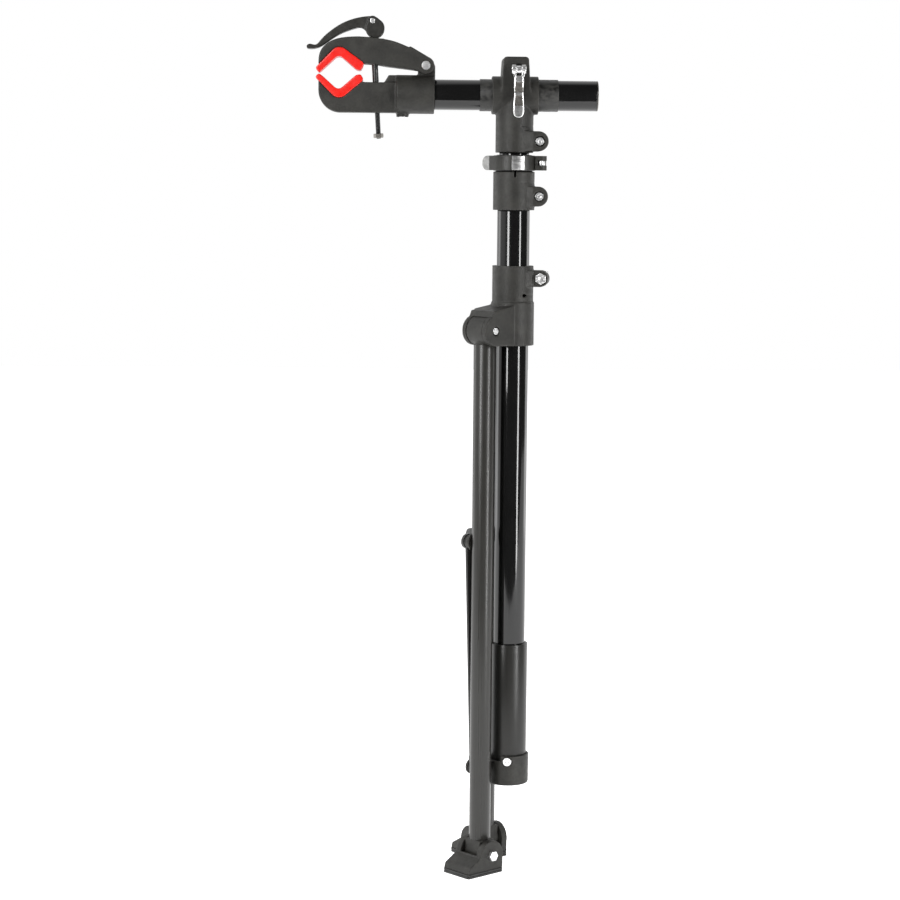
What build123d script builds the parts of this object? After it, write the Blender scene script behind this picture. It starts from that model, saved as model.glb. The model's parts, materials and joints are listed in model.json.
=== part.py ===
from build123d import *
import math
import os

# Folding repair stand, millimetres.  Z is up.  The origin is the middle of the post's
# bottom face.  The clamp arm lies along X, with its jaws at -X.  The two legs hang folded
# beside the post, one on the near side (-Y) and one on the far side.

# ---- driving dimensions ---------------------------------------------------------------
POST_R = 19.0                 # outer post, outside radius
INNER_R = 17.5                # inner post and arm tube, outside radius
LEG_R = 12.7                  # leg tube, outside radius
TUBE_WALL = 1.2
RUN = 0.08                    # radial clearance of a running fit
GAP = 0.4                     # room beside a part that moves past another
SLIDE_GAP = 0.3               # room between the two telescoping posts

FLOOR_Z = -101.0              # underside of the feet when folded
POST_TOP = 716.0
INNER_BOTTOM, INNER_TOP = 60.0, 790.0
SLEEVE_R, SLEEVE_TOP = 22.2, 169.0
CAP_R, CAP_TOP, CAP_FLOOR = 25.0, 35.6, 4.0

SOCKET_R, SOCKET_BOTTOM, SOCKET_TOP = 24.2, 681.5, 726.0
NECK_R, NECK_TOP = 21.0, 745.4
COLLAR_R, COLLAR_BOTTOM, COLLAR_TOP = 24.2, 727.0, 744.8

STEM_R, STEM_BOTTOM = 22.0, 748.0
ARM_Z = 814.0                 # arm axis height
BARREL_R, BARREL_HALF = 22.0, 27.0
BLOCK_TOP = 857.6
LINER_R, LINER_LEFT, LINER_RIGHT = 18.5, -41.0, 50.0
ARM_LEFT, ARM_RIGHT = -132.0, 94.6

HUB_YAW = -10.0               # the hub and legs are turned this far about the post
HUB_R, HUB_LOW_R = 24.1, 25.3
HUB_BOTTOM, HUB_SHOULDER, HUB_TOP = 523.7, 574.0, 616.8
LEG_HEADINGS = {"near": 220.0, "far": 125.0}
INNER_SIDE = {"near": -1, "far": 1}      # side of each leg that faces the other leg
LEG_RADIUS = 44.0             # distance from the post's axis to a folded leg's axis
LEG_PIVOT_Z = 542.0
FOOT_BOLT_Z = -79.0
KNUCKLE_R, KNUCKLE_HALF, CHEEK_R = 17.0, 13.6, 17.6
CHEEK_IN, CHEEK_OUT = 14.0, 20.0
STRUT_TOP = (50.0, 293.0)     # radius and height of the strut's two pivots
STRUT_FOOT = (40.0, 21.0)
STRUT_IN, STRUT_OUT = 14.0, 17.0
STRUT_PIN_R, LEG_PIN_R, PIN_SUNK = 3.0, 3.0, 2.4

JAW_HALF = 14.0               # half the jaws' thickness
PAD_HALF = 15.5
HINGE = (-104.0, 33.0)        # jaw hinge, X and height over the arm axis
CAM_PIN = (-165.8, 83.5)
CAM_CENTRE, CAM_R = (-162.8, 75.0), 10.9
ROD_END = (-158.1, -51.0)
ROD_R, SHANK_R = 3.0, 3.6


# ---- helpers --------------------------------------------------------------------------
def block(x0, x1, y0, y1, z0, z1):
    middle = Pos((x0 + x1) / 2, (y0 + y1) / 2, (z0 + z1) / 2)
    return middle * Box(x1 - x0, y1 - y0, z1 - z0)


def upright(radius, z0, z1, x=0.0, y=0.0):
    return Pos(x, y, (z0 + z1) / 2) * Cylinder(radius, z1 - z0)


def ring(outer, inner, z0, z1):
    return upright(outer, z0, z1) - upright(inner, z0 - 1, z1 + 1)


def along_x(radius, x0, x1, y=0.0, z=0.0):
    return Pos((x0 + x1) / 2, y, z) * Rot(0, 90, 0) * Cylinder(radius, x1 - x0)


def along_y(radius, y0, y1, x=0.0, z=0.0):
    return Pos(x, (y0 + y1) / 2, z) * Rot(90, 0, 0) * Cylinder(radius, y1 - y0)


def hex_along_y(across_flats, y0, y1, x=0.0, z=0.0):
    outline = RegularPolygon(across_flats / 2, 6, major_radius=False)
    return Pos(x, y1, z) * Rot(90, 0, 0) * extrude(outline, y1 - y0)


def slab_y(face_xz, half, middle=0.0):
    """A flat outline drawn in X and Z, made a plate of the given half thickness."""
    plate = extrude(face_xz, half, both=True)
    return Pos(0, middle, 0) * Rot(90, 0, 0) * plate


def prism_z(face_xy, z0, z1):
    """A flat outline drawn in X and Y, made a solid between two heights."""
    return Pos(0, 0, (z0 + z1) / 2) * extrude(face_xy, (z1 - z0) / 2, both=True)


def outline(points, radii):
    """A closed outline with its corners rounded, radius by radius."""
    corners = make_face(Polyline(*points, close=True))
    for point, radius in zip(points, radii):
        if radius:
            near = corners.vertices().sort_by_distance((point[0], point[1], 0))[0]
            corners = fillet(near, radius)
    return corners


def turned(shape, heading):
    return Rot(0, 0, heading) * shape


def cross_slot(radius, y0, y1, x, z):
    """A cross recess in the face of a screw whose axis lies along Y."""
    width, reach = radius * 0.28, radius * 1.1
    flat = block(x - reach / 2, x + reach / 2, y0, y1, z - width / 2, z + width / 2)
    tall = block(x - width / 2, x + width / 2, y0, y1, z - reach / 2, z + reach / 2)
    return flat + tall


# ---- post -----------------------------------------------------------------------------
SCREW_X, SCREW_Z = -1.9, 29.4
SCREW_HEAD_R, SCREW_R = 5.0, 2.4


def outer_post():
    tube = ring(POST_R, INNER_R + SLIDE_GAP, CAP_FLOOR, POST_TOP)
    return tube - along_y(SCREW_R, -CAP_R, 0, SCREW_X, SCREW_Z)


def post_sleeve():
    sleeve = ring(SLEEVE_R, POST_R, CAP_FLOOR, SLEEVE_TOP)
    return sleeve - along_y(SCREW_R, -CAP_R, 0, SCREW_X, SCREW_Z)


def base_cap():
    cup = upright(CAP_R, 0, CAP_TOP)
    cup = fillet(cup.edges().group_by(Axis.Z)[0], 2.0)
    mirror_heading = sum(LEG_HEADINGS.values()) / 2
    cup += turned(block(0, 33, -11, 11, 3, 30), mirror_heading)
    radius, height = STRUT_FOOT
    for side, heading in LEG_HEADINGS.items():
        inner = STRUT_OUT + GAP
        low, high = sorted((INNER_SIDE[side] * inner, INNER_SIDE[side] * (inner + 4.0)))
        ear = block(12, radius, low, high, height - 9, height + 9)
        ear += along_y(9.0, low, high, radius, height)
        cup += turned(ear, heading)
    cup -= upright(SLEEVE_R, CAP_FLOOR, CAP_TOP + 1)
    cup -= turned(block(10, 30, -14, 14, 29.5, CAP_TOP + 1), LEG_HEADINGS["near"] - 8)
    cup -= along_y(SCREW_HEAD_R + 0.9, -CAP_R - 5, -CAP_R + 1.6, SCREW_X, SCREW_Z)
    cup -= along_y(SCREW_R, -CAP_R, 0, SCREW_X, SCREW_Z)
    for heading in LEG_HEADINGS.values():
        cup -= turned(along_y(STRUT_PIN_R, -30, 30, radius, height), heading)
    return cup


def base_cap_screw():
    head = along_y(SCREW_HEAD_R, -CAP_R - 0.6, -CAP_R + 1.6, SCREW_X, SCREW_Z)
    head -= cross_slot(SCREW_HEAD_R, -CAP_R - 1, -CAP_R + 0.5, SCREW_X, SCREW_Z)
    return head + along_y(SCREW_R, -CAP_R + 1.6, -17.9, SCREW_X, SCREW_Z)



def strut_pins():
    """The two pins in the base cap that the struts swing on."""
    radius, height = STRUT_FOOT
    pins = []
    for side, heading in LEG_HEADINGS.items():
        sign = INNER_SIDE[side]
        inner, outer = STRUT_IN - 0.3, STRUT_OUT + GAP + 4.0
        low, high = sorted((sign * inner, sign * (outer + 1.2)))
        pin = along_y(STRUT_PIN_R, low, high, radius, height)
        low, high = sorted((sign * (inner - 0.6), sign * inner))
        pin += along_y(5.0, low, high, radius, height)
        low, high = sorted((sign * outer, sign * (outer + 1.6)))
        pin += along_y(5.0, low, high, radius, height)
        pins.append(turned(pin, heading))
    return Compound(children=pins)


# ---- clamp ears -----------------------------------------------------------------------
EAR_HALF, HUB_EAR_HALF = 16.5, 11.0
EAR_SET_BACK = 1.4            # the ear's round end lies this far inside its bolt


def clamp_ear(bolt_x, centre_z, radius, barrel_r, half, root_x):
    """An ear along +X whose faces leave the barrel at root_x and thin towards the bolt."""
    end = bolt_x - EAR_SET_BACK
    side = block(0, end, -barrel_r, barrel_r, centre_z - radius, centre_z + radius)
    side += along_y(radius, -barrel_r, barrel_r, end, centre_z)
    root_y = math.sqrt(barrel_r ** 2 - root_x ** 2) - 0.2
    plan = make_face(Polyline((root_x, root_y), (root_x, -root_y), (bolt_x - 7.6, -half),
                              (60, -half), (60, half), (bolt_x - 7.6, half), close=True))
    return side & prism_z(plan, centre_z - radius, centre_z + radius)


def ear_fasteners(x, z, head_y, nut_y):
    bolt = along_y(3.0, head_y, nut_y + 1.0, x, z)
    head = along_y(4.7, head_y - 2.6, head_y, x, z)
    head -= hex_along_y(4.0, head_y - 3, head_y - 1.2, x, z)
    nut = hex_along_y(10.0, nut_y - 5.0, nut_y, x, z)
    nut -= along_y(3.0, nut_y - 6, nut_y + 1, x, z)
    return bolt + head, nut


SOCKET_EAR_X, SOCKET_EAR_Z, SOCKET_EAR_R = 28.8, 697.4, 11.6
STEM_EAR_X, STEM_EAR_Z, STEM_EAR_R = 28.8, 761.2, 11.6


def post_socket():
    body = upright(SOCKET_R, SOCKET_BOTTOM, SOCKET_TOP) + upright(NECK_R, SOCKET_TOP, NECK_TOP)
    body += clamp_ear(SOCKET_EAR_X, SOCKET_EAR_Z, SOCKET_EAR_R, SOCKET_R, EAR_HALF, 6.4)
    body -= upright(POST_R, SOCKET_BOTTOM - 1, POST_TOP)
    body -= upright(INNER_R + SLIDE_GAP, POST_TOP - 1, NECK_TOP + 1)
    body -= block(15, 45, -1, 1, SOCKET_BOTTOM - 1, SOCKET_TOP - 14)
    body -= block(5.4, 30, -30, 1, 712.6, 714.2)
    body -= block(-1.1, 1.1, -30, -15, 719, NECK_TOP + 1)
    body -= along_y(6.0, -EAR_HALF - 1, -EAR_HALF + 4, SOCKET_EAR_X, SOCKET_EAR_Z)
    body -= along_y(3.0, -20, 20, SOCKET_EAR_X, SOCKET_EAR_Z)
    body -= hex_along_y(10.2, EAR_HALF - 5, EAR_HALF + 1, SOCKET_EAR_X, SOCKET_EAR_Z)
    return body


# ---- height collar --------------------------------------------------------------------
COLLAR_PIN = (31.0, -13.8)
COLLAR_MID = (COLLAR_BOTTOM + COLLAR_TOP) / 2


def height_collar():
    band = ring(COLLAR_R, NECK_R, COLLAR_BOTTOM, COLLAR_TOP)
    band += block(22, 37, -7, 8, COLLAR_BOTTOM + 1.5, COLLAR_TOP - 1.5)
    band -= upright(NECK_R, COLLAR_BOTTOM - 1, COLLAR_TOP + 1)
    band -= block(15, 40, -2, 2, COLLAR_BOTTOM - 1, COLLAR_TOP + 1)
    return band - along_y(2.5, -10, 12, COLLAR_PIN[0], COLLAR_MID)


def collar_bolt():
    x, y = COLLAR_PIN
    bolt = along_y(2.5, y + 2, 13.0, x, COLLAR_MID)
    eye = upright(4.2, COLLAR_MID - 2.4, COLLAR_MID + 2.4, x, y)
    return bolt + eye - upright(2.0 + RUN, COLLAR_BOTTOM, COLLAR_TOP, x, y)


def collar_nut():
    nut = hex_along_y(8.0, 8.0, 13.5, COLLAR_PIN[0], COLLAR_MID)
    return nut - along_y(2.5, 7, 15, COLLAR_PIN[0], COLLAR_MID)


def collar_lever():
    """A lever that wraps the front of the collar and ends in a straight tip."""
    inner, outer, start, leave, tip_length = 25.6, 28.6, -25.0, -143.0, 24.0
    wrap = ring(outer, inner, COLLAR_BOTTOM + 0.5, COLLAR_TOP - 0.5)
    rays = [math.radians(angle) for angle in (start, (start + leave) / 2, leave)]
    sector = [(60 * math.cos(ray), 60 * math.sin(ray)) for ray in rays]
    sector = make_face(Polyline((0, 0), *sector, close=True))
    wrap = wrap & prism_z(sector, COLLAR_BOTTOM, COLLAR_TOP)
    tip = block(inner, outer, -tip_length, 0, COLLAR_BOTTOM + 0.5, COLLAR_TOP - 0.5)
    corner = along_x(8.4, inner - 1, outer + 1, -tip_length + 8.4, COLLAR_MID)
    tip = tip & (corner + block(inner, outer, -tip_length + 8.4, 0, COLLAR_BOTTOM, COLLAR_TOP))
    tip = turned(tip, leave)
    x, y = COLLAR_PIN
    fork = upright(6.2, COLLAR_BOTTOM + 0.5, COLLAR_TOP - 0.5, x, y)
    fork += block(x - 7.5, x, y - 6.2, y - 1, COLLAR_BOTTOM + 0.5, COLLAR_TOP - 0.5)
    fork -= block(x - 4.6, x + 8, y - 8, y + 8, COLLAR_MID - 2.8, COLLAR_MID + 2.8)
    fork -= upright(2.0, COLLAR_BOTTOM, COLLAR_TOP, x, y)
    return wrap + tip + fork


def collar_cam_pin():
    return upright(2.0, COLLAR_BOTTOM + 0.5, COLLAR_TOP - 0.5, *COLLAR_PIN)


# ---- quick releases -------------------------------------------------------------------
# Drawn about the skewer's axis, with the clamped face at Y = 0, the lever outside it at
# -Y and its handle hanging towards -Z.
QR_PIN_Y = -9.0
QR_PIN_R, QR_SKEWER_R = 2.2, 2.5


def qr_cup():
    cup = along_y(7.2, -2.4, 0)
    return cup - along_y(QR_SKEWER_R, -4, 1)


def qr_lever(length, lift):
    """A forked cam lever; lift is how far its handle stands further out than its pin."""
    fork = along_x(6.2, -6.0, 6.0, QR_PIN_Y, 0)
    side = outline([(QR_PIN_Y - 4.5, 0), (QR_PIN_Y + 3.0, 0), (QR_PIN_Y - lift + 2.2, -16),
                    (QR_PIN_Y - lift + 2.6, -length), (QR_PIN_Y - lift - 1.2, -length),
                    (QR_PIN_Y - lift - 3.0, -16)], [0, 0, 12, 0, 1, 12])
    plate = Plane.YZ * extrude(side, 10, both=True)
    front = outline([(-5.4, 8), (5.4, 8), (5.0, -9), (6.6, -length + 14), (6.4, -length),
                     (-6.4, -length), (-6.6, -length + 14), (-5.0, -9)],
                    [0, 0, 8, 20, 6, 6, 20, 8])
    handle = plate & slab_y(front, 60)
    lever = fork + handle
    lever -= block(-3.1, 3.1, QR_PIN_Y - 14, QR_PIN_Y + 8, -8.0, 8)
    return lever - along_x(QR_PIN_R, -8, 8, QR_PIN_Y, 0)


def qr_cam_pin():
    return along_x(QR_PIN_R, -6.4, 6.4, QR_PIN_Y, 0)


def qr_skewer(reach):
    eye = along_x(4.4, -2.7, 2.7, QR_PIN_Y, 0)
    shank = along_y(QR_SKEWER_R, QR_PIN_Y + 3, reach)
    return eye + shank - along_x(QR_PIN_R + RUN, -4, 4, QR_PIN_Y, 0)


def qr_place(x, y, z, turn):
    """turn 0 keeps the lever at the front, hanging down."""
    return Pos(x, y, z) * turn


HEAD_QR = qr_place(2.5, -BARREL_R, 842.4, Rot(0, 0, 0))
HUB_EAR_X, HUB_EAR_Z, HUB_EAR_R = 34.2, 602.0, 9.6
HUB_QR = Rot(0, 0, HUB_YAW) * qr_place(HUB_EAR_X, HUB_EAR_HALF, HUB_EAR_Z,
                                       Rot(180, 0, 0) * Rot(0, 90, 0))
HEAD_QR_LENGTH, HEAD_QR_LIFT = 54.6, 1.0
HUB_QR_LENGTH, HUB_QR_LIFT = 56.0, 7.5


def head_skewer():
    return HEAD_QR * qr_skewer(2 * BARREL_R + 8.5)


def head_nut():
    knob = along_y(7.0, 2 * BARREL_R, 2 * BARREL_R + 8)
    for step in range(12):
        angle = math.radians(step * 30)
        knob -= along_y(1.0, 2 * BARREL_R + 2, 2 * BARREL_R + 9,
                        7.2 * math.cos(angle), 7.2 * math.sin(angle))
    return HEAD_QR * (knob - along_y(QR_SKEWER_R, 2 * BARREL_R - 1, 2 * BARREL_R + 9))


def hub_skewer():
    return HUB_QR * qr_skewer(2 * HUB_EAR_HALF + 6.0)


def hub_nut():
    nut = hex_along_y(11.6, 2 * HUB_EAR_HALF, 2 * HUB_EAR_HALF + 4.6)
    return HUB_QR * (nut - along_y(QR_SKEWER_R, 2 * HUB_EAR_HALF - 1, 2 * HUB_EAR_HALF + 7))


# ---- head and arm ---------------------------------------------------------------------
def head_casting():
    top = outline([(-17.2, ARM_Z), (-14.6, BLOCK_TOP), (14.6, BLOCK_TOP), (17.2, ARM_Z)],
                  [0, 4, 4, 0])
    body = along_x(BARREL_R, -BARREL_HALF, BARREL_HALF, 0, ARM_Z)
    body += upright(STEM_R, STEM_BOTTOM, ARM_Z)
    body += slab_y(top, BARREL_R)
    body += clamp_ear(STEM_EAR_X, STEM_EAR_Z, STEM_EAR_R, STEM_R, EAR_HALF, 6.4)
    body -= along_x(LINER_R + RUN, -40, 40, 0, ARM_Z)
    body -= upright(INNER_R + RUN, STEM_BOTTOM - 1, INNER_TOP + 1)
    body -= block(-20, 20, -1.5, 1.5, ARM_Z + 12, BLOCK_TOP + 1)
    body -= block(-40, 40, -1.5, 1.5, ARM_Z + 12, ARM_Z + 30)
    body -= block(15, 45, -1, 1, STEM_BOTTOM - 1, 778)
    body -= block(6.6, 30, -30, 1, 777.8, 779.4)
    body -= hex_along_y(11.7, -EAR_HALF - 1, -EAR_HALF + 4, STEM_EAR_X, STEM_EAR_Z)
    body -= along_y(3.0, -20, 20, STEM_EAR_X, STEM_EAR_Z)
    body -= hex_along_y(10.2, EAR_HALF - 5, EAR_HALF + 1, STEM_EAR_X, STEM_EAR_Z)
    body -= HEAD_QR * along_y(QR_SKEWER_R, -1, 2 * BARREL_R + 1)
    return body


def inner_post():
    return ring(INNER_R, INNER_R - 1.5, INNER_BOTTOM, INNER_TOP)


def arm_liner():
    bush = along_x(LINER_R, LINER_LEFT, LINER_RIGHT, 0, ARM_Z)
    return bush - along_x(INNER_R + RUN, LINER_LEFT - 1, LINER_RIGHT + 1, 0, ARM_Z)


def arm_tube():
    tube = along_x(INNER_R, ARM_LEFT, ARM_RIGHT, 0, ARM_Z)
    tube -= along_x(INNER_R - 1.5, ARM_LEFT - 1, ARM_RIGHT + 1, 0, ARM_Z)
    return tube - upright(2.5, ARM_Z - 30, ARM_Z, SOCKET_SCREW_X)


def arm_end_plug():
    disc = along_x(INNER_R - 0.2, ARM_RIGHT, ARM_RIGHT + 1.6, 0, ARM_Z)
    stub = along_x(INNER_R - 1.5, ARM_RIGHT - 14, ARM_RIGHT, 0, ARM_Z)
    stub -= along_x(INNER_R - 4, ARM_RIGHT - 15, ARM_RIGHT - 2, 0, ARM_Z)
    return disc + stub


# ---- jaws -----------------------------------------------------------------------------
JAW_SOCKET_R, JAW_SOCKET_LEFT, JAW_SOCKET_RIGHT = 22.3, -138.0, -94.0
SOCKET_SCREW_X = -130.5
HINGE_R, HINGE_PIN_R, HINGE_EAR = 9.8, 3.0, 7.0
JAW_ROD_SLOT = (-167.0, -155.6)
UPPER_ROD_SLOT = (-170.4, -152.6)


def at_arm(shape):
    return Pos(0, 0, ARM_Z) * shape


def pad_outline(end_in, end_tip, end_out, root, far_out, far_tip, far_in, valley):
    points = [end_out, root, far_out, far_tip, far_in, valley, end_in, end_tip]
    return outline(points, [2, 11, 3, 2.5, 0, 6, 0, 2])


UPPER_PAD = ((-223.2, 27.0), (-227.6, 23.4), (-231.6, 29.2), (-205.0, 56.4),
             (-174.9, 34.6), (-178.7, 26.1), (-184.4, 27.4), (-204.3, 44.4))
LOWER_PAD = ((-222.4, 19.2), (-227.4, 23.0), (-232.2, 18.8), (-205.0, -8.6),
             (-175.4, 15.8), (-179.4, 22.4), (-185.0, 21.0), (-205.0, 3.6))


def pad(points):
    return at_arm(slab_y(pad_outline(*points), PAD_HALF))


def lower_jaw():
    plate = outline([(-228, 20), (-228, -21.4), (-136, -21.4), (-136, 13.2), (-174, 13.2),
                     (-178, 14), (-206, -4), (-224, 16)], [0, 25, 0, 4, 0, 0, 0, 0])
    body = slab_y(plate, JAW_HALF)
    body += along_x(JAW_SOCKET_R, JAW_SOCKET_LEFT, JAW_SOCKET_RIGHT)
    ramp = outline([(-152, 13), (-147, 21.6), (-120, 21.6), (-120, 0), (-152, 0)], [0] * 5)
    body += slab_y(ramp, 11)
    ear = outline([(-113, 10), (-113, 30), (HINGE[0], 41), (-93, 34), (-93, 10)],
                  [0, 4, 8, 4, 0])
    body += slab_y(ear, HINGE_EAR)
    body += upright(7.2, -26, -15, SOCKET_SCREW_X)
    body -= along_x(INNER_R, ARM_LEFT, JAW_SOCKET_RIGHT + 2)
    body -= along_y(HINGE_PIN_R, -20, 20, *HINGE)
    body -= block(JAW_ROD_SLOT[0], JAW_ROD_SLOT[1], -3.6, 3.6, -30, 20)
    body -= upright(2.5, -30, -10, SOCKET_SCREW_X)
    body -= upright(4.6, -27, -23.8, SOCKET_SCREW_X)
    return at_arm(body) - pad(LOWER_PAD)


def upper_jaw():
    top = [(-219.2, 56.4), (-209.8, 61.6), (-195, 64.6), (-180, 65.2), (-165, 64.2),
           (-148, 61.8), (-137.8, 59.2), (-119.8, 52.4)]
    meet = math.radians(60)
    shoulder = (HINGE[0] + HINGE_R * math.cos(meet), HINGE[1] + HINGE_R * math.sin(meet))
    with BuildLine() as rim:
        crown = Spline((-228, 37), *top, shoulder, tangents=((0, 1), (math.sin(meet), -math.cos(meet))))
        Polyline(crown @ 1, HINGE, (-108, 26.6), (-124, 28.6),
                 (-150, 31.6), (-162, 33.8), (-176, 34.2), (-206, 50), (-224, 30),
                 (-228, 34), crown @ 0)
    body = slab_y(make_face(rim.line), JAW_HALF)
    body += along_y(HINGE_R, -JAW_HALF, JAW_HALF, *HINGE)
    body -= block(-117, -90, -HINGE_EAR - GAP, HINGE_EAR + GAP, 10, 44)
    body -= along_y(HINGE_PIN_R + RUN, -20, 20, *HINGE)
    body -= block(-184, -150, -11.8, 11.8, 62.2, 80)
    body -= block(UPPER_ROD_SLOT[0], UPPER_ROD_SLOT[1], -4.3, 4.3, 20, 70)
    return at_arm(body) - pad(UPPER_PAD)


def jaw_hinge_pin():
    pin = along_y(HINGE_PIN_R, -JAW_HALF - 0.4, JAW_HALF + 0.4, *HINGE)
    for sign in (-1, 1):
        low, high = sorted((sign * (JAW_HALF + 0.3), sign * (JAW_HALF + 1.9)))
        pin += along_y(5.0, low, high, *HINGE)
    return at_arm(pin)


def arm_socket_screw():
    screw = upright(2.5, -25.5, -15.6, SOCKET_SCREW_X) + upright(4.4, -26.3, -23.8, SOCKET_SCREW_X)
    return at_arm(screw - upright(1.6, -27, -25, SOCKET_SCREW_X))


def cam_saddle():
    plate = block(-181, -152, -9, 9, 62.2, 63.3)
    return at_arm(plate - block(UPPER_ROD_SLOT[0], UPPER_ROD_SLOT[1], -4.3, 4.3, 60, 70))


def rod_frame():
    """Places a shape drawn down the -Z axis from the cam pin on the tilted rod's line."""
    tilt = math.degrees(math.atan2(ROD_END[0] - CAM_PIN[0], CAM_PIN[1] - ROD_END[1]))
    return Pos(CAM_PIN[0], 0, ARM_Z + CAM_PIN[1]) * Rot(0, -tilt, 0)


def rod_length():
    return math.hypot(ROD_END[0] - CAM_PIN[0], ROD_END[1] - CAM_PIN[1])


def cam_barrel():
    barrel = along_y(6.0, -4.6, 4.6) + upright(4.3, -15, 0)
    barrel -= along_y(3.0 + RUN, -6, 6)
    return rod_frame() * (barrel - upright(ROD_R + RUN, -16, -4.6))


def clamp_rod():
    rod = upright(ROD_R, -rod_length(), -5.2) + upright(SHANK_R, -70, -15.6)
    return rod_frame() * rod


def clamp_rod_nut():
    nut = extrude(RegularPolygon(5.0, 6, major_radius=False), 5.0)
    nut = Pos(0, 0, -rod_length() + 1.0) * nut
    return rod_frame() * (nut - upright(ROD_R, -rod_length() - 1, -rod_length() + 7))


def clamp_lever():
    with BuildLine() as rim:
        crest = Spline((-242.0, 54.2), (-237.6, 56.6), (-232.0, 55.6), (-226.0, 60.6),
                       (-215.6, 70.6), (-201.6, 80.0), (-184.0, 86.6), (-166.4, 88.9))
        Polyline(crest @ 1, CAM_CENTRE, (-172.8, 70.4))
        belly = Spline((-172.8, 70.4), (-176.0, 74.6), (-180.0, 76.0), (-184.4, 75.2),
                       (-200.4, 69.6), (-214.4, 61.4), (-220.0, 57.4), (-227.6, 52.8),
                       (-232.6, 51.4), (-241.4, 51.6))
        Line(belly @ 1, crest @ 0)
    body = slab_y(make_face(rim.line), 9.0)
    body += along_y(CAM_R, -11, 11, *CAM_CENTRE) + along_y(5.5, -11, 11, *CAM_PIN)
    shoulder = outline([CAM_PIN, (-165.4, 89.0), (-160.4, 87.0), (-155.2, 82.6), CAM_CENTRE],
                       [0, 0, 4, 0, 0])
    body += slab_y(shoulder, 11.0)
    body -= block(-182, -140, -5.2, 5.2, 60, 79.4)
    body -= block(-175, -140, -5.2, 5.2, 60, 99)
    return at_arm(body - along_y(3.0, -20, 20, *CAM_PIN))


def clamp_lever_pin():
    return at_arm(along_y(3.0, -11.4, 11.4, *CAM_PIN))


# ---- hub ------------------------------------------------------------------------------
def leg_cheeks(heading):
    """The two cheeks and the sloping roof that a leg's knuckle turns between."""
    web = outline([(0, HUB_BOTTOM), (LEG_RADIUS, LEG_PIVOT_Z - CHEEK_R),
                   (LEG_RADIUS, LEG_PIVOT_Z), (50.4, 558.6), (47.6, 565), (14, HUB_SHOULDER - 2.4),
                   (0, HUB_SHOULDER)], [0] * 7)
    body = slab_y(web, CHEEK_OUT)
    body += along_y(CHEEK_R, -CHEEK_OUT, CHEEK_OUT, LEG_RADIUS, LEG_PIVOT_Z)
    body -= along_y(KNUCKLE_R + GAP, -CHEEK_IN, CHEEK_IN, LEG_RADIUS, LEG_PIVOT_Z)
    body -= block(LEG_RADIUS - KNUCKLE_R - GAP, 80, -CHEEK_IN, CHEEK_IN, 500, LEG_PIVOT_Z)
    body -= block(LEG_RADIUS, 80, -CHEEK_IN, CHEEK_IN, 500, LEG_PIVOT_Z + 13)
    body -= along_y(LEG_PIN_R, -30, 30, LEG_RADIUS, LEG_PIVOT_Z)
    for sign in (-1, 1):
        low, high = sorted((sign * (CHEEK_OUT - PIN_SUNK), sign * (CHEEK_OUT + 2)))
        body -= along_y(5.4, low, high, LEG_RADIUS, LEG_PIVOT_Z)
    return turned(body, heading)


def leg_hub():
    body = upright(HUB_R, HUB_SHOULDER, HUB_TOP) + upright(HUB_LOW_R, HUB_BOTTOM, HUB_SHOULDER)
    ear = clamp_ear(HUB_EAR_X, HUB_EAR_Z, HUB_EAR_R, HUB_R, HUB_EAR_HALF, 17.0)
    ear -= block(15, 50, -1, 1, 585, 620)
    body += turned(ear, HUB_YAW)
    for heading in LEG_HEADINGS.values():
        body += leg_cheeks(heading)
    for heading in LEG_HEADINGS.values():
        body -= turned(block(LEG_RADIUS - KNUCKLE_R - GAP, 80, -CHEEK_IN, CHEEK_IN, 500,
                             LEG_PIVOT_Z), heading)
    body -= upright(POST_R + RUN, HUB_BOTTOM - 1, HUB_TOP + 1)
    slits = block(15, 30, -1, 1, HUB_SHOULDER + 8, HUB_TOP + 1)
    slits += block(15.4, 30, -30, 1, 581.8, 583.2) + along_y(1.9, -30, 0, 15.4, 582.5)
    body -= turned(slits, HUB_YAW)
    return body - HUB_QR * along_y(QR_SKEWER_R, -1, 2 * HUB_EAR_HALF + 1)


def leg_pins():
    """The two pins that the legs hang on."""
    pins = []
    for heading in LEG_HEADINGS.values():
        pin = along_y(LEG_PIN_R, PIN_SUNK - CHEEK_OUT, CHEEK_OUT - PIN_SUNK, LEG_RADIUS,
                      LEG_PIVOT_Z)
        for sign in (-1, 1):
            low, high = sorted((sign * (CHEEK_OUT - PIN_SUNK), sign * (CHEEK_OUT - 0.8)))
            pin += along_y(3.9, low, high, LEG_RADIUS, LEG_PIVOT_Z)
        pins.append(turned(pin, heading))
    return Compound(children=pins)


# ---- legs, struts and feet, drawn with X pointing out from the post --------------------
TUBE_TOP, TUBE_BOTTOM = 526.0, -62.0
LEG_BORE = LEG_R - TUBE_WALL
END_R = 11.6
FOOT_HEEL, FOOT_TOE = 27.0, 81.0
FOOT_HALF, FOOT_EAR_R = 22.0, 17.8
TOE_CREST = (59.4, -78.0)
SOLE_TOP = FLOOR_Z + 5.0
FOOT_BOLT_R = 3.0


def leg_tube():
    tube = upright(LEG_R, TUBE_BOTTOM, TUBE_TOP, LEG_RADIUS)
    return tube - upright(LEG_BORE, TUBE_BOTTOM - 1, TUBE_TOP + 1, LEG_RADIUS)


def leg_knuckle():
    drum = along_y(KNUCKLE_R, -KNUCKLE_HALF, KNUCKLE_HALF, LEG_RADIUS, LEG_PIVOT_Z)
    drum -= block(0, 90, -20, 20, 500, TUBE_TOP)
    drum += upright(LEG_BORE, TUBE_TOP - 28, LEG_PIVOT_Z, LEG_RADIUS)
    return drum - along_y(LEG_PIN_R + RUN, -20, 20, LEG_RADIUS, LEG_PIVOT_Z)


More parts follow.
